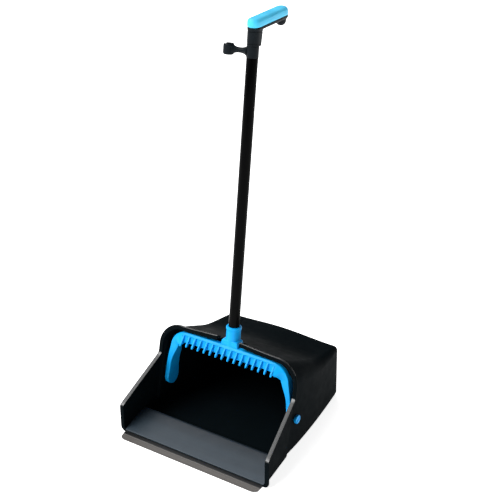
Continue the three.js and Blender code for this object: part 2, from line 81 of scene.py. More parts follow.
# ---- driving dimensions: millimetres, angles in radians -----------------------------
WALL = 2.6
FLANGE_OUT = 6.0
FLANGE_THICK = 3.6
MOUTH_HALF = PAN_HIGH.x / MM - FLANGE_OUT - 0.2
FRAME_END_Y = 88.0
FRAME_END_HALF = 153.0
FRAME_TOP_HALF = 149.0
FRAME_TOP_Z = 184.0
FRAME_CORNER_R = 43.0
FRAME_LEAN = 0.265
FOOT_R = 11.0
CROWN = 5.0
# Depths behind the mouth edge where the inner and the outer wall take over from the flange.
INNER_START = 14
OUTER_START = FLANGE_THICK + 6
# The inner wall stops this part of the way back, so that the hood's wall keeps its thickness.
INNER_END = 0.975

HOOD_HALF = 149.0
HOOD_REAR_HALF = 130.7
HOOD_TAPER_Y = 120
HOOD_TAPER_POWER = 1.6
HOOD_CORNER_R = 38.0
REAR_CORNER_R = 8.0
# The two slopes of the roof: y of a point, its height, fall per millimetre.
ROOF_FRONT = (139.0, 180.2, 0.495)
ROOF_REAR = (DEPTH, 114.9, 0.155)
ROOF_KNEE = 4.0
REAR_ROUND = 6.0

# The mouth edge: up a sloping strip from the cheek's height to the (y, z) of the strip's
# end, then up a leaning rim.
CHEEK_Z = 59.0
STRIP_END = (113.5, 122.0)
RIM_LEAN = 0.195
EDGE_SOFT = 2.4

NOTCH_HALF = 25.0
NOTCH_BACK = 157.6
NOTCH_ROUND = 9.0
NOTCH_FRONT = 80
NOTCH_HEIGHTS = (150, 215)

PIN_R = 6.6
PIN_HEAD_R = 8.5
PIN_HEAD = 4.5
PIN_END = 137.5
PIN_TO_WALL = HOOD_HALF + 0.3
PIN_HOLE_REACH = (120, 165)
PIN_GAP = 0.3

# The crest is the (y, z) of the ramp's top.
RAMP_FRONT_Z = 5.6
CREST = (60.0, 24.5)
LIP_HALF = LIP_HIGH.x / MM
LIP_PROUD = (FRONT - LIP_LOW.y) / MM
LIP_THICK = 2.6
LIP_RECESS = 9.5
# The lip's worn grey front ends this far in front of the hopper; behind that it is black.
LIP_DARK = 9.5

YOKE_FRONT = -13.8
YOKE_BACK = -4.0
YOKE_BAND = 9.6
# The round foot of an arm about the pivot: centre y and z, radius.
ARM_FOOT = (1.5, -1.5, 17.5)
ARM_BACK = 17.0
ARM_BACK_LOW = 17.6
# An arm's back comes forward to the crossbar's from this height, over this much height.
ARM_THINS_Z = 55
ARM_THINS_OVER = 36
TOOTH_COUNT = 16
TOOTH_HALF_SPAN = 102.0
COMB_DEPTH = 6.0
TOOTH_HALF = 1.6
NECK_BACK = 8.0

TUBE_R = 10.5
TUBE_WALL = 0.9
TUBE_FOOT = 104.3
SOCKET_R = 14.2
SOCKET_TOP = 146.0
CLIP_TALL = 21.0
CLIP_FROM = (CLIP_POINT - PIVOT).length / MM - CLIP_TALL / 2
GRIP_TOP = CLIP_FROM + CLIP_TALL + 32.6
ARM_RISE = math.radians(1.2)
GRIP_HALF = 12.4
GRIP_REACH = 89.0
TRAY_TALL = 6.2
CLIP_TURN = math.radians(190)

ARM = Matrix.Translation((0, 0, GRIP_TOP)) @ Matrix.Rotation(LEAN + ARM_RISE, 4, "X")


def mix(a, b, t):
    return a + (b - a) * t


def smooth(t):
    t = min(1.0, max(0.0, t))
    return t * t * (3 - 2 * t)


def soft_max(a, b, width):
    top = max(a, b)
    return top + width * math.log1p(math.exp(-abs(a - b) / width))


def soft_min(a, b, width):
    return -soft_max(-a, -b, width)


# ---- materials -----------------------------------------------------------------------
class Nodes:
    """A small builder for node materials around one Principled shader."""

    def __init__(self, name):
        self.material = bpy.data.materials.new(name)
        self.material.use_nodes = True
        self.tree = self.material.node_tree
        self.shader = self.tree.nodes["Principled BSDF"]
        self.place = self.add("ShaderNodeTexCoord").outputs["Object"]

    def add(self, kind, **values):
        node = self.tree.nodes.new(kind)
        for key, value in values.items():
            setattr(node, key, value)
        return node

    def link(self, source, target):
        self.tree.links.new(source, target)

    def set(self, **values):
        for key, value in values.items():
            self.shader.inputs[key.replace("_", " ")].default_value = value

    def noise(self, scale, detail=2.0, stretch=(1, 1, 1)):
        mapping = self.add("ShaderNodeMapping")
        mapping.inputs["Scale"].default_value = stretch
        self.link(self.place, mapping.inputs["Vector"])
        node = self.add("ShaderNodeTexNoise")
        node.inputs["Scale"].default_value = scale
        node.inputs["Detail"].default_value = detail
        self.link(mapping.outputs["Vector"], node.inputs["Vector"])
        return node.outputs["Fac"]

    def grain(self, scale):
        node = self.add("ShaderNodeTexVoronoi")
        node.inputs["Scale"].default_value = scale
        self.link(self.place, node.inputs["Vector"])
        return node.outputs["Distance"]

    def ramp(self, fac, stops):
        node = self.add("ShaderNodeValToRGB")
        elements = node.color_ramp.elements
        while len(elements) < len(stops):
            elements.new(0.5)
        for element, (place, value) in zip(elements, stops):
            element.position = place
            element.color = (*value, 1)
        self.link(fac, node.inputs["Fac"])
        return node.outputs["Color"]

    def grey(self, fac, low, high):
        return self.ramp(fac, [(0.3, (low,) * 3), (0.7, (high,) * 3)])

    def axis(self, index, low, high):
        """0 to 1 along one axis of the object, from low to high in metres."""
        split = self.add("ShaderNodeSeparateXYZ")
        self.link(self.place, split.inputs["Vector"])
        node = self.add("ShaderNodeMapRange")
        node.inputs["From Min"].default_value = low
        node.inputs["From Max"].default_value = high
        self.link(split.outputs[index], node.inputs["Value"])
        return node.outputs["Result"]

    def blend(self, fac, first, second):
        """Mixes two colours; the node's colour sockets are inputs 6 and 7 and output 2."""
        node = self.add("ShaderNodeMix", data_type="RGBA")
        if isinstance(fac, float):
            node.inputs["Factor"].default_value = fac
        else:
            self.link(fac, node.inputs["Factor"])
        self.link(first, node.inputs[6])
        self.link(second, node.inputs[7])
        return node.outputs[2]

    def bump(self, heights):
        """heights: (output, distance in metres) pairs, laid one on the other."""
        normal = None
        for height, distance in heights:
            node = self.add("ShaderNodeBump")
            node.inputs["Distance"].default_value = distance
            self.link(height, node.inputs["Height"])
            if normal is not None:
                self.link(normal, node.inputs["Normal"])
            normal = node.outputs["Normal"]
        self.link(normal, self.shader.inputs["Normal"])


def shade(color, factor):
    return tuple(channel * factor for channel in color)


def moulded(name, color, roughness, grain_depth, specular, vary=0.18):
    """Moulded plastic: a fine spark-eroded grain and slight colour and gloss changes."""
    nodes = Nodes(name)
    cloud = nodes.noise(18, 3.0)
    tone = nodes.ramp(cloud, [(0.3, shade(color, 1 - vary)), (0.7, shade(color, 1 + vary))])
    nodes.link(tone, nodes.shader.inputs["Base Color"])
    gloss = nodes.grey(nodes.noise(60, 4.0), roughness - 0.05, roughness + 0.07)
    nodes.link(gloss, nodes.shader.inputs["Roughness"])
    nodes.bump([(nodes.grain(1600), grain_depth), (nodes.noise(35, 2.0), grain_depth * 3)])
    nodes.set(Specular_IOR_Level=specular)
    return nodes


def pan_plastic():
    color = (0.0024, 0.0042, 0.0052)
    return moulded("pan_plastic_look", color, 0.6, 0.000008, 0.01, 0.08).material


def ramp_plastic():
    """Painted sheen: the ramp is paler than the pan's plastic, and paler still towards its front
    edge.
    """
    # Painted sheen: a paler base colour than the pan's, for the same plastic.
    nodes = moulded("ramp_plastic_look", (0.009, 0.014, 0.02), 0.36, 0.000008, 0.24)
    old = nodes.shader.inputs["Base Color"].links[0].from_socket
    rise = nodes.axis(1, FRONT, FRONT + CREST[0] * MM)
    streaks = nodes.noise(9, 5.0, (0.25, 6, 6))
    # Painted sheen: the colour grows paler towards the front edge.
    stops = [(0.0, (0.03, 0.045, 0.06)), (0.5, (0.02, 0.032, 0.044)), (1.0, (0.009, 0.014, 0.02))]
    wear_and_sheen = nodes.ramp(rise, stops)
    mixed = nodes.blend(nodes.grey(streaks, 0.62, 0.95), old, wear_and_sheen)
    nodes.link(mixed, nodes.shader.inputs["Base Color"])
    return nodes.material


def flange_lit_copy():
    """The flange's upper faces: a lit copy of the same plastic, smoother and glossier, and a little
    paler as painted light.
    """
    return moulded("flange_look", (0.004, 0.0055, 0.0062), 0.26, 0.000003, 0.6, 0.08).material


def lip_rubber():
    """Rubber with lengthwise lines, worn grey in front and black towards the hopper."""
    nodes = Nodes("lip_rubber_look")
    lines = nodes.noise(14, 4.0, (0.15, 9, 9))
    cloud = nodes.noise(30, 3.0)
    tone = nodes.ramp(lines, [(0.3, (0.055, 0.05, 0.046)), (0.7, (0.12, 0.11, 0.102))])
    dust = nodes.ramp(cloud, [(0.35, (0.06, 0.057, 0.054)), (0.75, (0.12, 0.112, 0.107))])
    wear_and_sheen = nodes.blend(0.4, tone, dust)
    # The band of the lip next to the hopper is painted near-black.
    dark_rear_band = nodes.ramp(cloud, [(0.3, (0.004, 0.0045, 0.005)), (0.7, (0.006, 0.0065, 0.007))])
    behind = nodes.axis(1, FRONT - LIP_DARK * MM, FRONT - (LIP_DARK - 0.8) * MM)
    nodes.link(nodes.blend(behind, wear_and_sheen, dark_rear_band), nodes.shader.inputs["Base Color"])
    nodes.link(nodes.grey(cloud, 0.5, 0.7), nodes.shader.inputs["Roughness"])
    nodes.bump([(lines, 0.0001), (nodes.grain(1200), 0.00003)])
    nodes.set(Specular_IOR_Level=0.35)
    return nodes.material


def blue_plastic():
    color = (0.001, 0.35, 0.82)
    return moulded("blue_plastic_look", color, 0.42, 0.000006, 0.16, 0.05).material


def cap_rubber():
    nodes = Nodes("cap_rubber_look")
    cloud = nodes.noise(40, 3.0)
    tone = nodes.ramp(cloud, [(0.3, (0.035, 0.5, 0.8)), (0.7, (0.05, 0.58, 0.88))])
    nodes.link(tone, nodes.shader.inputs["Base Color"])
    nodes.link(nodes.grey(cloud, 0.45, 0.6), nodes.shader.inputs["Roughness"])
    nodes.bump([(nodes.grain(1500), 0.00004), (nodes.noise(70, 2.0), 0.00008)])
    nodes.set(Specular_IOR_Level=0.4, Sheen_Weight=0.15, Sheen_Roughness=0.5)
    return nodes.material


def tube_paint():
    """Powder coat on a drawn tube: orange peel and faint lengthwise draw lines."""
    nodes = Nodes("tube_paint_look")
    lines = nodes.noise(160, 2.0, (1, 1, 0.02))
    peel = nodes.noise(900, 2.0)
    tone = nodes.ramp(lines, [(0.35, (0.0008, 0.0008, 0.0009)), (0.7, (0.0018, 0.0018, 0.0019))])
    nodes.link(tone, nodes.shader.inputs["Base Color"])
    nodes.link(nodes.grey(lines, 0.22, 0.32), nodes.shader.inputs["Roughness"])
    nodes.bump([(peel, 0.00002), (lines, 0.00002)])
    nodes.set(Specular_IOR_Level=0.03)
    return nodes.material


def handle_plastic():
    color = (0.006, 0.0088, 0.011)
    return moulded("handle_plastic_look", color, 0.42, 0.000008, 0.07).material


def screw_steel():
    nodes = Nodes("screw_steel_look")
    cloud = nodes.noise(700, 4.0)
    tone = nodes.ramp(cloud, [(0.3, (0.45, 0.46, 0.48)), (0.7, (0.62, 0.63, 0.65))])
    nodes.link(tone, nodes.shader.inputs["Base Color"])
    nodes.link(nodes.grey(cloud, 0.25, 0.42), nodes.shader.inputs["Roughness"])
    nodes.set(Metallic=1.0)
    return nodes.material


def floor_paper():
    """White paper that gives off some light of its own, so that it stays white."""
    nodes = Nodes("floor_paper")
    tone = nodes.ramp(nodes.noise(3, 2.0), [(0.3, (0.93, 0.93, 0.93)), (0.7, (0.95, 0.95, 0.95))])
    nodes.link(tone, nodes.shader.inputs["Base Color"])
    nodes.set(Roughness=0.9, Specular_IOR_Level=0.0)
    nodes.set(Emission_Color=(1, 1, 1, 1), Emission_Strength=0.85)
    return nodes.material


LOOKS = {
    "pan": pan_plastic(),
    "ramp": ramp_plastic(),
    "flange": flange_lit_copy(),
    "lip": lip_rubber(),
    "blue": blue_plastic(),
    "cap": cap_rubber(),
    "tube": tube_paint(),
    "handle": handle_plastic(),
    "steel": screw_steel(),
}


# ---- mesh tools ----------------------------------------------------------------------
def finish_mesh(name, shape, place, look, angle=38.0):
    """Makes a smooth-shaded object of a bmesh; edges sharper than angle stay sharp."""
    bmesh.ops.remove_doubles(shape, verts=shape.verts, dist=1e-4)
    bmesh.ops.dissolve_degenerate(shape, edges=shape.edges, dist=1e-5)
    bmesh.ops.recalc_face_normals(shape, faces=shape.faces)
    bmesh.ops.transform(shape, matrix=place, verts=shape.verts)
    mesh = bpy.data.meshes.new(name)
    shape.to_mesh(mesh)
    shape.free()
    mesh.materials.append(LOOKS[look])
    mesh.shade_smooth()
    mesh.set_sharp_from_angle(angle=math.radians(angle))
    piece = bpy.data.objects.new(name, mesh)
    bpy.context.scene.collection.objects.link(piece)
    return piece


def skin(shape, rows, capped=True, band=()):
    """Adds a skin over closed rows of points; strips in band get the second material."""
    made = [[shape.verts.new(point) for point in row] for row in rows]
    count = len(made[0])
    for number, (near, far) in enumerate(zip(made, made[1:])):
        for i in range(count):
            j = (i + 1) % count
            face = shape.faces.new((near[i], near[j], far[j], far[i]))
            face.material_index = 1 if number in band else 0
    if capped:
        shape.faces.new(list(reversed(made[0])))
        shape.faces.new(made[-1])


def corner_curve(before, here, after, size, limit, steps):
    """Points of a curve in place of a corner, at most limit of each edge long."""
    back = before - here
    ahead = after - here
    start = here + back * min(limit, size / max(back.length, 1e-6))
    end = here + ahead * min(limit, size / max(ahead.length, 1e-6))
    points = []
    for k in range(steps + 1):
        t = k / steps
        points.append(start * (1 - t) ** 2 + here * 2 * t * (1 - t) + end * t * t)
    return points


def rounded(corners, radius, steps):
    """A closed outline with each corner replaced by a curve of about that radius.

    radius is one number, or a list with one for each corner.
    """
    places = [Vector(corner) for corner in corners]
    radii = radius if isinstance(radius, list) else [radius] * len(places)
    points = []
    for i, here in enumerate(places):
        after = places[(i + 1) % len(places)]
        points += corner_curve(places[i - 1], here, after, radii[i], 0.46, steps)
    return points


def turned(shape, profile, segments=64, matrix=None):
    """A turned body about Z from (radius, height) points; equal ends make a ring."""
    rows = []
    for radius, height in profile:
        rows.append(
            [
                Vector((radius * math.cos(a), radius * math.sin(a), height))
                for a in (2 * math.pi * i / segments for i in range(segments))
            ]
        )
    if matrix is not None:
        rows = [[matrix @ point for point in row] for row in rows]
    skin(shape, rows, capped=profile[0] != profile[-1])


def fillet_profile(points, radius, steps):
    """An open profile with every corner between its ends rounded."""
    places = [Vector(point) for point in points]
    made = [places[0]]
    for before, here, after in zip(places, places[1:], places[2:]):
        made += corner_curve(before, here, after, radius, 0.48, steps)
    made.append(places[-1])
    return [(p.x, p.y) for p in made]


def cut(piece, cutter):
    """Takes the cutter's volume from the piece and removes the cutter.

    The exact solver returned an empty mesh for the hopper, so the manifold one is used.
    """
    modifier = piece.modifiers.new("cut", "BOOLEAN")
    modifier.operation = "DIFFERENCE"
    modifier.solver = "MANIFOLD"
    modifier.object = cutter
    apply_modifiers(piece)
    bpy.data.objects.remove(cutter)


def apply_modifiers(piece):
    graph = bpy.context.evaluated_depsgraph_get()
    mesh = bpy.data.meshes.new_from_object(piece.evaluated_get(graph))
    piece.modifiers.clear()
    piece.data = mesh


def crease(piece, angle):
    """Shades a changed piece smooth again, but for edges sharper than angle."""
    piece.data.shade_smooth()
    piece.data.set_sharp_from_angle(angle=math.radians(angle))


# ---- hopper --------------------------------------------------------------------------
# Points in each stretch of a cross-section: side, roof corner, roof, floor, foot corner.
SIDE_STEPS = 54
ARC_STEPS = 20
CROWN_STEPS = 12
FLAT_STEPS = 6
FOOT_STEPS = 10


def section(half, top_half, top, shoulder, foot, floor):
    """Right half of a cross-section from the middle of the floor to the top of the roof."""
    points = [(i / FLAT_STEPS * (half - foot), floor) for i in range(FLAT_STEPS)]
    for i in range(FOOT_STEPS + 1):
        a = math.radians(-90 + 90 * i / FOOT_STEPS)
        points.append((half - foot + foot * math.cos(a), floor + foot + foot * math.sin(a)))
    low, high = floor + foot, top - shoulder
    for i in range(1, SIDE_STEPS):
        t = i / SIDE_STEPS
        points.append((mix(half, top_half, t), mix(low, high, t)))
    for i in range(ARC_STEPS + 1):
        a = math.radians(90 * i / ARC_STEPS)
        points.append((top_half - shoulder + shoulder * math.cos(a), high + shoulder * math.sin(a)))
    flat = top_half - shoulder
    for i in range(1, CROWN_STEPS + 1):
        x = flat * (1 - i / CROWN_STEPS)
        points.append((x, top + CROWN * (1 + math.cos(math.pi * x / flat)) / 2))
    return points


def whole_ring(half_points):
    """The right half and its mirror, without doubling the two middle points."""
    left = [Vector((-p.x, p.y, p.z)) for p in reversed(half_points[1:-1])]
    return half_points + left


def edge_y(z, depth):
    """Where the mouth edge lies at height z, set back square to itself by depth."""
    slope = (STRIP_END[1] - CHEEK_Z) / STRIP_END[0]
    strip = (z - CHEEK_Z + depth * math.hypot(1, slope)) / slope
    rim = STRIP_END[0] + (z - STRIP_END[1]) * RIM_LEAN + depth
    return soft_max(soft_min(strip, rim, EDGE_SOFT), depth, EDGE_SOFT)


def frame_points(grow, place):
    """One row of the mouth frame; place(z, index) gives each point's y."""
    top = FRAME_TOP_Z + grow
    foot = FOOT_R + min(0, grow) * 0.5
    floor = max(0.0, -grow)
    ends = []
    for half, top_half in ((MOUTH_HALF, MOUTH_HALF), (FRAME_END_HALF, FRAME_TOP_HALF)):
        ends.append(section(half + grow, top_half + grow, top, FRAME_CORNER_R + grow, foot, floor))
    points = []
    for index, (front, rear) in enumerate(zip(*ends)):
        z = front[1]
        y = place(z, index)
        s = min(1.0, y / (FRAME_END_Y + FRAME_LEAN * z))
        points.append(Vector((mix(front[0], rear[0], s), y, mix(front[1], rear[1], s))))
    return whole_ring(points)


def frame_edge_row(depth, grow):
    """A row beside the mouth edge. The floor starts behind the lip's recess."""

    def place(z, index):
        if index <= FLAT_STEPS:
            return depth + LIP_RECESS
        return edge_y(z, depth)

    return frame_points(grow, place)


def frame_row(t, grow, from_depth, end=1.0):
    """A row of the frame's wall, from the flange at t = 0 to the frame's end at t = 1."""

    def place(z, index):
        first = from_depth + LIP_RECESS if index <= FLAT_STEPS else edge_y(z, from_depth)
        return mix(first, (FRAME_END_Y + FRAME_LEAN * z) * end, t)

    return frame_points(grow, place)


def roof_height(y):
    """The roof's height at y, without its crown: the higher of the two slopes."""
    front = ROOF_FRONT[1] - ROOF_FRONT[2] * (y - ROOF_FRONT[0])
    rear = ROOF_REAR[1] - ROOF_REAR[2] * (y - ROOF_REAR[0])
    return soft_max(front, rear, ROOF_KNEE)


def hood_row(y, grow, inset=0.0):
    """One row of the hood; it leans like the frame at first and ends upright."""
    along = (y - FRAME_END_Y) / (DEPTH - FRAME_END_Y)
    lean = FRAME_LEAN * (1 - along)
    back = max(0.0, (y - HOOD_TAPER_Y) / (DEPTH - HOOD_TAPER_Y))
    taper = (HOOD_HALF - HOOD_REAR_HALF) * back**HOOD_TAPER_POWER
    half = HOOD_HALF - taper + grow - inset
    top = roof_height(y + lean * roof_height(y + 30)) + grow - inset
    shoulder = max(1.5, mix(HOOD_CORNER_R, REAR_CORNER_R, along) + grow - inset / 2)
    floor = max(0.0, -grow) + inset * 0.4
    points = section(half, half - 2, top, shoulder, FOOT_R - 1, floor)
    return whole_ring([Vector((x, y + lean * z, z)) for x, z in points])


def shrink_row(row, factor):
    """A row pulled towards the middle of the rear wall."""
    middle_z = sum(p.z for p in row) / len(row)
    return [Vector((p.x * factor, p.y, mix(middle_z, p.z, factor))) for p in row]


def hood_rows(grow):
    """Rows of the hood from the frame's end to the middle of the rear wall."""
    rear = DEPTH + grow
    rows = []
    steps = 34
    round_steps = 6
    for i in range(steps):
        rows.append(hood_row(mix(FRAME_END_Y, rear - REAR_ROUND, i / steps), grow))
    for i in range(round_steps + 1):
        a = math.pi / 2 * i / round_steps
        inset = REAR_ROUND * (1 - math.cos(a))
        rows.append(hood_row(rear - REAR_ROUND * (1 - math.sin(a)), grow, inset))
    return rows + [shrink_row(rows[-1], k) for k in (0.85, 0.65, 0.45, 0.25, 0.08)]


def mouth_profile():
    """(depth, grow) from the inner wall, round the flange, to the outer wall."""
    out, thick = FLANGE_OUT, FLANGE_THICK
    inner = [(INNER_START, -WALL), (7, -WALL), (3, -WALL)]
    outline = [(1.4, -WALL), (0, -WALL), (0, out), (thick, out), (thick, 0), (thick + 3, 0)]
    return inner + fillet_profile(outline, 1.1, 4) + [(OUTER_START, 0)]


def hopper_shell():
    """Hood and frame in one skin: up the inside, round the flange, back along the outside."""
    shape = bmesh.new()
    rows = list(reversed(hood_rows(-WALL)))
    rows += [frame_row(t, -WALL, INNER_START, INNER_END) for t in (1.0, 0.8, 0.6, 0.4, 0.2)]
    first = len(rows) + 2
    rows += [frame_edge_row(depth, grow) for depth, grow in mouth_profile()]
    flange = range(first, len(rows) - 2)
    rows += [frame_row(t, 0, OUTER_START) for t in (0.2, 0.4, 0.6, 0.8, 0.96, 0.995)]
    step = FRAME_END_HALF - HOOD_HALF
    rows += [frame_row(1.0, grow, OUTER_START) for grow in (-0.6, -step * 0.8)]
    rows += hood_rows(0)
    skin(shape, rows, band=flange)
    piece = finish_mesh("hopper_shell", shape, PAN, "pan", 40)
    piece.data.materials.append(LOOKS["flange"])
    # Only the faces of the flange that look up keep its lit copy, glossier and a little paler as
    # painted light.
    for face in piece.data.polygons:
        if face.normal.z < 0.5:
            face.material_index = 0
    cut(piece, notch_cutter())
    for side in (-1, 1):
        cut(piece, pin_cutter(side))
    crease(piece, 40)
    return piece


def notch_cutter():
    """The rounded slot in the roof for the yoke's neck."""
    outline = [(-NOTCH_HALF, NOTCH_FRONT), (NOTCH_HALF, NOTCH_FRONT)]
    corner = NOTCH_HALF - NOTCH_ROUND
    for side, start in ((1, 0), (-1, 90)):
        for i in range(9):
            a = math.radians(start + 90 * i / 8)
            x = side * corner + NOTCH_ROUND * math.cos(a)
            y = NOTCH_BACK - NOTCH_ROUND + NOTCH_ROUND * math.sin(a)
            outline.append((x, y))
    shape = bmesh.new()
    skin(shape, [[Vector((x, y, z)) for x, y in outline] for z in NOTCH_HEIGHTS])
    return finish_mesh("notch_cutter", shape, PAN, "pan")


def pin_place(side):
    """The pivot's axis, with z running outwards through that side's wall."""
    turn = Matrix.Rotation(side * math.pi / 2, 4, "Y")
    return Matrix.Translation(PIVOT) @ turn @ Matrix.Scale(MM, 4)


def pin_cutter(side):
    """The hole for a pivot pin."""
    shape = bmesh.new()
    turned(shape, [(PIN_R + PIN_GAP, height) for height in PIN_HOLE_REACH])
    return finish_mesh("pin_cutter", shape, pin_place(side), "pan")


def wall_x(y, z):
    """Half-width of the frame's wall at a height, with its rounded foot."""
    s = y / (FRAME_END_Y + FRAME_LEAN * z)
    half = mix(MOUTH_HALF, FRAME_END_HALF, s)
    if z >= FOOT_R:
        return half
    return half - FOOT_R + math.sqrt(FOOT_R**2 - (FOOT_R - z) ** 2)


def ramp():
    """The wedge behind the front edge, up to the crest that keeps the dirt in.

    Its corners are (y, z), and its ends reach halfway into the side walls.
    """
    low = LIP_THICK + 0.5
    corners = [
        (0.4, low), (0.4, RAMP_FRONT_Z - 0.1), (CREST[0] - 3, CREST[1] - 0.1),
        (CREST[0] + 1, CREST[1] - 0.2), (CREST[0] + 4, 1.2), (10.2, 1.2), (9.8, low),
    ]
    outline = rounded(corners, [0.5, 1.0, 3.0, 1.6, 1.0, 0.3, 0.3], 5)
    steps = 48
    rows = []
    for i in range(steps + 1):
        across = mix(-1, 1, i / steps)
        row = []
        for p in outline:
            row.append(Vector((across * (wall_x(p.x, p.y) - WALL * 0.55), p.x, p.y)))
        rows.append(row)
    shape = bmesh.new()
    skin(shape, rows)
    return finish_mesh("ramp", shape, PAN, "ramp", 50)


# ---- rubber lip ----------------------------------------------------------------------
def rubber_lip():
    """The blade, with one lengthwise rib, cut-back front corners and a bead at its rear."""
    corner_cut = 7.0
    steps = 60
    rows = []
    for i in range(steps + 1):
        x = mix(-LIP_HALF, LIP_HALF, i / steps)
        gone = max(0.0, abs(x) - (LIP_HALF - corner_cut)) * 0.9
        front = -LIP_PROUD + gone
        corners = [
            (front, 0), (11.5, 0), (11.5, 5.2), (9.5, 5.2), (9.5, LIP_THICK), (-1.6, LIP_THICK),
            (-2.4, LIP_THICK + 0.9), (-8.8, LIP_THICK + 0.7), (-9.8, LIP_THICK - 0.6), (front, 0.9),
        ]
        outline = rounded(corners, [0.3, 0.5, 0.5, 0.4, 0.3, 0.4, 0.5, 0.6, 0.6, 0.35], 3)
        rows.append([Vector((x, p.x, p.y)) for p in outline])
    shape = bmesh.new()
    skin(shape, rows)
    return finish_mesh("lip_blade", shape, PAN, "lip", 50)


# ---- yoke ----------------------------------------------------------------------------
# Half of the yoke's outer edge, from an arm's foot to the crossbar's middle: x and the
# height above the pivot.
YOKE_PATH = [
    (143.2, -19), (143.4, 0), (142.5, 20), (139.4, 44), (134.8, 66), (130.8, 83),
    (122.3, 96.3), (109.3, 104.8), (92, 108), (46, 108.2), (0, 108.2),
]


def curve_point(points, t):
    """Catmull-Rom through the points; t runs from 0 to their number less one."""
    count = len(points)
    i = min(int(t), count - 2)
    u = t - i
    a, b, c, d = (Vector(points[min(max(i + k, 0), count - 1)]) for k in (-1, 0, 1, 2))
    square = 2 * a - 5 * b + 4 * c - d
    cube = 3 * b - a - 3 * c + d
    return 0.5 * (2 * b + (c - a) * u + square * u**2 + cube * u**3)


def apron_reach(x, normal_up):
    """How far the comb plate has grown: 0 on the arms, 1 on the crossbar.

    normal_up is how far the yoke's outer edge faces up there.
    """
    return smooth((normal_up - 0.25) / 0.6) * (1 - 0.25 * smooth((abs(x) - 96) / 20))


def comb_recess(x):
    """The plate stands back between the teeth and comes flush beyond the last one."""
    return COMB_DEPTH * (1 - smooth((abs(x) - TOOTH_HALF_SPAN) / 7))


def yoke_section(t, side):
    """A closed row of the yoke's section at t along its outer edge.

    Its corners are (distance out from that edge, y). reach turns the arm's plain band into
    the crossbar with its comb plate, and web fills the corner between the two.
    """
    here = curve_point(YOKE_PATH, t)
    ahead = curve_point(YOKE_PATH, min(t + 0.02, len(YOKE_PATH) - 1))
    before = curve_point(YOKE_PATH, max(t - 0.02, 0))
    along = (ahead - before).normalized()
    if t >= len(YOKE_PATH) - 1.02:
        along = Vector((-1, 0))
    out = Vector((along.y, -along.x))
    reach = apron_reach(here.x, out.y)
    z = here.y
    front = mix(YOKE_FRONT, YOKE_FRONT - 0.6, reach)
    back = mix(ARM_BACK, YOKE_BACK, smooth((z - ARM_THINS_Z) / ARM_THINS_OVER))
    centre_y, centre_z, foot_r = ARM_FOOT
    if z < centre_z + foot_r:
        swing = math.sqrt(max(0.0, foot_r**2 - max(0.0, centre_z - z) ** 2))
        above = smooth((z - centre_z) / foot_r)
        front = mix(centre_y - swing, YOKE_FRONT, above)
        back = min(centre_y + swing, mix(centre_y + swing, ARM_BACK_LOW, above))
    band = YOKE_BAND
    web = 1 - (1 - reach) * (1 - 0.7 * smooth((z - 30) / 62))
    drop = mix(band * 0.6, 20.0, web)
    forward = mix(0.0, 13.4, reach)
    under = mix(band, 9.0, web)
    step = comb_recess(here.x) * reach
    edge = mix(band * 0.3, 4.6, reach)
    slant = forward / drop
    tip = -drop - mix(band * 0.4, 3.0, web) + step * 0.3
    tip_y = front - forward + mix(0.3, 2.4, web) + step * 1.5
    corners = [
        (0, back), (0, front),
        (-edge, front - edge * slant), (-edge - step * 0.4, front - edge * slant + step * 0.5),
        (-drop + step * 0.25, front - forward + step * 1.5), (tip, tip_y),
        (-under - step * 0.2, front + mix(3.0, 4.4, reach) + step * 0.7), (-under, back),
    ]
    radii = [1.2, mix(2.4, 1.6, reach), 0.8, 0.8, 1.0, mix(2.6, 0.9, web), 2.0, 1.6]
    row = []
    for p in rounded(corners, radii, 5):
        row.append(Vector((side * (here.x + out.x * p.x), p.y, here.y + out.y * p.x)))
    return row


def yoke_band():
    """Arms, crossbar and comb plate in one sweep from foot to foot."""
    shape = bmesh.new()
    last = len(YOKE_PATH) - 1
    foot_steps = 40
    path_steps = 110
    stations = [k / foot_steps for k in range(foot_steps)]
    stations += [mix(1, last, k / path_steps) for k in range(path_steps + 1)]
    right = [yoke_section(t, 1) for t in stations]
    left = [yoke_section(t, -1) for t in reversed(stations[:-1])]
    skin(shape, right + left)
    return finish_mesh("yoke_band", shape, HANDLE, "blue", 60)


def comb_teeth():
    """Deep fins in front of the comb plate, each with a rounded edge and a hooked tip."""
    shape = bmesh.new()
    top = YOKE_PATH[-1][1]
    side = [
        (1.5, -1.6), (-2.2, -4.0), (-8.6, -12.6), (-14.2, -20.8),
        (-15.0, -24.4), (-12.6, -24.8), (-6.4, -19.6), (3.4, -11.0),
    ]
    side = [(YOKE_FRONT + ahead, top + height) for ahead, height in side]
    outline = rounded(side, [0.6, 1.5, 3.0, 2.4, 1.2, 1.0, 2.0, 0.6], 4)
    middle = sum(outline, Vector((0, 0))) / len(outline)
    for number in range(TOOTH_COUNT):
        x = mix(-TOOTH_HALF_SPAN, TOOTH_HALF_SPAN, number / (TOOTH_COUNT - 1))
        sink = 1.6 * smooth((abs(x) - 84) / 18)
        rows = []
        for i in range(9):
            a = math.pi * (i / 8 - 0.5)
            shrink = 1 - 0.1 * (1 - math.cos(a) ** 0.5)
            across = x + TOOTH_HALF * math.sin(a)
            spots = [middle + (p - middle) * shrink for p in outline]
            rows.append([Vector((across, p.x, p.y - sink)) for p in spots])
        skin(shape, rows)
    return finish_mesh("comb_teeth", shape, HANDLE, "blue", 50)


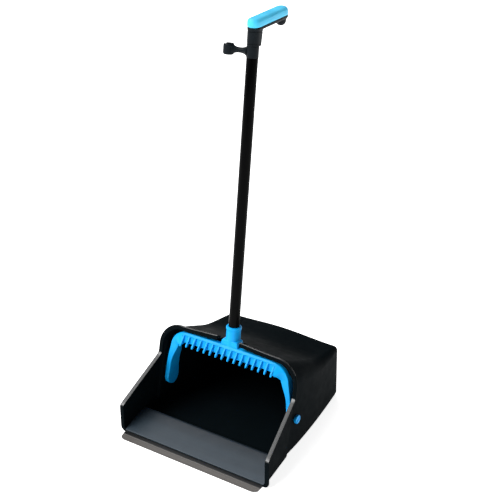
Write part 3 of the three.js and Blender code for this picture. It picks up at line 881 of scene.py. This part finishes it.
def yoke_neck():
    """The block between the crossbar and the socket, with rounded edges.

    A level is a height above the crossbar, a half-width, the reach forward and a radius.
    """
    shape = bmesh.new()
    top = YOKE_PATH[-1][1]
    levels = [
        (-9.0, 18.4, 11.5, 1.6), (0.0, 18.4, 13.4, 1.8),
        (4.0, 18.2, 13.6, 1.8), (8.6, 17.4, 13.6, 1.8),
        (9.8, 16.8, 13.2, 2.2), (10.6, 15.8, 12.6, 3.2), (11.2, 14.0, 11.6, 5.0),
    ]
    rows = []
    for height, half, ahead, radius in levels:
        corners = [(half, -ahead), (half, NECK_BACK), (-half, NECK_BACK), (-half, -ahead)]
        outline = rounded(corners, radius, 6)
        rows.append([Vector((p.x, p.y, top + height)) for p in outline])
    skin(shape, rows)
    return finish_mesh("yoke_neck", shape, HANDLE, "blue", 60)


def tube_socket():
    """The socket round the tube, with a bead below its mouth."""
    shape = bmesh.new()
    base = YOKE_PATH[-1][1] - 3
    bore = TUBE_R + 0.3
    outside = [
        (bore, SOCKET_TOP), (SOCKET_R - 0.4, SOCKET_TOP), (SOCKET_R + 0.7, SOCKET_TOP - 1.6),
        (SOCKET_R + 0.7, SOCKET_TOP - 5.0), (SOCKET_R - 0.4, SOCKET_TOP - 6.4), (SOCKET_R, base),
    ]
    profile = [(bore, base)] + fillet_profile(outside, 0.9, 4) + [(bore, base)]
    turned(shape, profile, 96)
    return finish_mesh("tube_socket", shape, HANDLE, "blue", 50)


def pivot_pin(name, side):
    """A pin with a round head outside the wall and a slot across the head."""
    shape = bmesh.new()
    face = PIN_TO_WALL + PIN_HEAD
    profile = [
        (0, PIN_END), (PIN_R, PIN_END), (PIN_R, PIN_TO_WALL), (PIN_HEAD_R, PIN_TO_WALL),
        (PIN_HEAD_R, face), (0, face),
    ]
    turned(shape, [(max(r, 0.01), z) for r, z in fillet_profile(profile, 0.9, 5)], 72)
    piece = finish_mesh(name, shape, pin_place(side), "blue", 40)
    groove = bmesh.new()
    outline = [(-1.1, face - 2.2), (1.1, face - 2.2), (1.4, face + 1), (-1.4, face + 1)]
    ends = (-PIN_HEAD_R - 1, PIN_HEAD_R + 1)
    skin(groove, [[Vector((x, y, z)) for x, z in outline] for y in ends])
    turn = pin_place(side) @ Matrix.Rotation(math.radians(35), 4, "Z")
    cut(piece, finish_mesh("groove_cutter", groove, turn, "blue"))
    crease(piece, 40)
    return piece


# ---- handle --------------------------------------------------------------------------
def handle_tube():
    """The tube from inside the socket up to the clip, open at both ends."""
    shape = bmesh.new()
    high = CLIP_FROM - 0.3
    inner = TUBE_R - TUBE_WALL
    outer = [(inner, TUBE_FOOT), (TUBE_R, TUBE_FOOT), (TUBE_R, high), (inner, high)]
    middle = [(inner, mix(TUBE_FOOT, high, 0.5))]
    profile = middle + fillet_profile(outer, 0.3, 3) + middle
    turned(shape, profile, 96)
    return finish_mesh("tube_skin", shape, HANDLE, "tube", 40)


def fused(name, bodies, place, look, voxel, passes):
    """Joins closed bodies into one skin whose inner corners flow together."""
    shape = bmesh.new()
    for body in bodies:
        body(shape)
    piece = finish_mesh(name, shape, Matrix.Identity(4), look)
    remesh = piece.modifiers.new("fuse", "REMESH")
    remesh.mode = "VOXEL"
    remesh.voxel_size = voxel
    soften = piece.modifiers.new("soften", "SMOOTH")
    soften.factor = 0.5
    soften.iterations = passes
    apply_modifiers(piece)
    piece.data.transform(place)
    piece.data.materials.clear()
    piece.data.materials.append(LOOKS[look])
    crease(piece, 60)
    return piece


def broom_clip():
    """Collar, necked stalk and C-shaped jaw, with flowing roots. The jaw is at x = reach."""
    reach = 45.0
    half = CLIP_TALL / 2
    bore = 8.4
    collar_r = 11.0
    collar_low = 0.1
    collar_high = CLIP_TALL - 0.4

    def collar(shape):
        profile = [
            (bore, collar_low), (collar_r - 0.4, collar_low), (collar_r, 0.5),
            (collar_r, CLIP_TALL - 0.8), (collar_r - 0.4, collar_high),
            (bore, collar_high), (bore, collar_low),
        ]
        turned(shape, profile, 72)

    def stalk(shape):
        profile = [(0.01, 9.4), (9.0, 9.4)]
        for i in range(25):
            t = i / 24
            flare = abs(2 * t - 1) ** 2.6
            profile.append((4.9 + flare * (4.3 if t < 0.5 else 3.6), mix(10.2, reach - 8.0, t)))
        profile.append((0.01, reach - 8.0))
        lay = Matrix.Translation((0, 0, half)) @ Matrix.Rotation(math.pi / 2, 4, "Y")
        turned(shape, profile, 40, lay)

    def jaw(shape):
        outer = 10.0
        inner = 6.6
        low = 0.6
        high = CLIP_TALL - 1
        gap = math.radians(33)
        steps = 60
        outline = rounded(
            [(inner, low), (outer, low), (outer, high), (inner, high)], [0.4, 2.2, 3.0, 0.5], 1
        )
        rows = []
        for i in range(steps + 1):
            a = mix(gap, 2 * math.pi - gap, i / steps)
            spread = Vector((math.cos(a), math.sin(a), 0))
            middle = Vector((reach, 0, 0))
            rows.append([middle + spread * p.x + Vector((0, 0, p.y)) for p in outline])
        skin(shape, rows)

    turn = Matrix.Translation((0, 0, CLIP_FROM)) @ Matrix.Rotation(CLIP_TURN, 4, "Z")
    return fused("clip_body", [collar, stalk, jaw], HANDLE @ turn, "handle", 0.42, 4)


def grip_outline(nose, far, reach):
    """Plan of the grip: a round nose about the tube and a round far end along +y."""
    steps = 16
    points = []
    for i in range(steps + 1):
        a = math.pi + math.pi * i / steps
        points.append((nose * math.cos(a), nose * math.sin(a)))
    for i in range(steps + 1):
        a = math.pi * i / steps
        points.append((far * math.cos(a), reach + far * math.sin(a)))
    return points


def grip_rows(levels):
    """Rows of the arm's plan at several heights, each drawn in by its inset."""
    rows = []
    for z, inset in levels:
        half = GRIP_HALF - inset
        rows.append([Vector((x, y, z)) for x, y in grip_outline(half, half, GRIP_REACH)])
    return rows


def grip_sleeve():
    """The oval sleeve under the arm, a little wider at its top, with a groove near each end.

    A level is a height and an inset.
    """
    shape = bmesh.new()
    base = CLIP_FROM + CLIP_TALL
    tall = GRIP_TOP - base
    levels = [
        (0.0, 0.5), (0.5, 0.1), (1.0, 0.0), (2.6, 0.0), (2.9, 0.9), (3.9, 0.9), (4.2, 0.0),
        (tall - 9.0, 0.0), (tall - 8.7, 0.9), (tall - 7.9, 0.9), (tall - 7.6, 0.0),
        (tall - 1.5, 0.0),
    ]
    rows = []
    for height, inset in levels:
        rise = height / tall
        nose = mix(11.2, 11.9, rise) - inset
        far = mix(11.3, 12.0, rise) - inset
        plan = grip_outline(nose, far, mix(5.2, 7.0, rise))
        rows.append([Vector((x, y, base + height)) for x, y in plan])
    skin(shape, rows)
    return finish_mesh("grip_sleeve", shape, HANDLE, "handle", 35)


def grip_arm():
    """The tray that the soft cap sits on."""
    shape = bmesh.new()
    levels = [
        (-TRAY_TALL, 2.2), (-TRAY_TALL + 0.5, 1.1), (-TRAY_TALL + 1.3, 0.4),
        (-TRAY_TALL + 2.4, 0.0), (-1.0, 0.0), (-0.5, 0.25), (-0.3, 0.8),
    ]
    skin(shape, grip_rows(levels))
    return finish_mesh("grip_arm", shape, HANDLE @ ARM, "handle", 40)


def grip_pommel():
    """The round knob under the far end of the arm."""
    shape = bmesh.new()
    radius = 9.8
    steps = 14
    profile = [(0.01, -radius)]
    for i in range(1, steps + 1):
        a = math.pi / 2 * i / steps
        profile.append((radius * math.sin(a), -radius * math.cos(a)))
    profile += [(radius + 0.2, 1.5), (radius + 1.2, 3.6), (radius + 1.2, 5.5), (0.01, 5.5)]
    turned(shape, profile, 64)
    place = Matrix.Translation((0, GRIP_REACH - 1, -TRAY_TALL - 3.5))
    return finish_mesh("grip_pommel", shape, HANDLE @ ARM @ place, "handle", 50)


def grip_cap():
    """The soft crowned cap over the arm."""
    shape = bmesh.new()
    side = 8.0
    tall = 14.6
    crown_inset = 6.6
    levels = [
        (0.0, 1.0), (0.15, 0.5), (0.6, 0.1), (1.4, -0.2), (3.0, -0.3), (5.5, -0.25), (side, 0.0),
    ]
    steps = 12
    for i in range(1, steps + 1):
        a = math.pi / 2 * i / steps
        levels.append((side + (tall - side) * math.sin(a), crown_inset * (1 - math.cos(a))))
    levels.append((tall + 0.2, 9.4))
    skin(shape, grip_rows(levels))
    return finish_mesh("cap_skin", shape, HANDLE @ ARM, "cap", 50)


# ---- assembly ------------------------------------------------------------------------
def add(piece, body, slot, *nodes):
    """Puts a piece on a body in place of the named CAD nodes; slot is not used."""
    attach(piece, body)
    if nodes:
        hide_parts(*nodes)


def dress(node, look):
    """Gives a finished material to a CAD node that is kept."""
    target = frame["nodes"][node]
    if not target.material_slots:
        target.data.materials.append(None)
    for slot in target.material_slots:
        slot.material = LOOKS[look]


add(hopper_shell(), "pan", "pan_plastic", "hopper")
add(ramp(), "pan", "pan_plastic")
add(rubber_lip(), "pan", "lip_rubber", "rubber_lip")
add(yoke_band(), "handle", "blue_plastic", "yoke")
add(comb_teeth(), "handle", "blue_plastic")
add(yoke_neck(), "handle", "blue_plastic")
add(tube_socket(), "handle", "blue_plastic")
add(pivot_pin("pin_right", 1), "handle", "blue_plastic", "pivot_pin_right")
add(pivot_pin("pin_left", -1), "handle", "blue_plastic", "pivot_pin_left")
add(handle_tube(), "handle", "tube_paint", "handle_tube")
add(broom_clip(), "clip", "handle_plastic", "broom_clip")
add(grip_sleeve(), "handle", "handle_plastic", "grip_body")
add(grip_arm(), "handle", "handle_plastic")
add(grip_pommel(), "handle", "handle_plastic")
add(grip_cap(), "handle", "cap_rubber", "grip_cap")
dress("tube_plug", "handle")
dress("socket_screw", "steel")


# ---- stage ---------------------------------------------------------------------------
def floor():
    shape = bmesh.new()
    bmesh.ops.create_grid(shape, x_segments=4, y_segments=4, size=20)
    LOOKS["floor"] = floor_paper()
    piece = finish_mesh("floor", shape, Matrix.Identity(4), "floor")


def sun(name, toward, strength, spread):
    """A very large soft light from one side; toward points at it."""
    data = bpy.data.lights.new(name, "SUN")
    data.energy = strength
    data.angle = math.radians(spread)
    light = bpy.data.objects.new(name, data)
    light.location = Vector(toward) * 3
    light.rotation_euler = Vector(toward).to_track_quat("Z", "Y").to_euler()
    bpy.context.scene.collection.objects.link(light)


def world():
    """A dim white surround; the suns and the floor do most of the lighting."""
    scene = bpy.context.scene
    scene.world = bpy.data.worlds.new("studio")
    scene.world.use_nodes = True
    background = scene.world.node_tree.nodes["Background"]
    background.inputs["Color"].default_value = (1, 1, 1, 1)
    background.inputs["Strength"].default_value = 0.12
    scene.view_settings.view_transform = "Standard"


def camera():
    """At the photograph's viewing angle, in degrees round from the front and up."""
    around = 32.19
    above = 26.53
    data = bpy.data.cameras.new("camera")
    data.sensor_width = 36
    data.lens = 75.6
    view = bpy.data.objects.new("camera", data)
    view.location = (0.9366, -1.43815, 1.2275)
    view.rotation_euler = (math.radians(90 - above), 0, math.radians(around))
    bpy.context.scene.collection.objects.link(view)
    bpy.context.scene.camera = view


floor()
sun("key", (-0.45, -0.6, 0.75), 3.4, 40)
sun("top", (-0.48, 0.15, 0.86), 1.5, 50)
world()
camera()

bpy.context.view_layer.update()
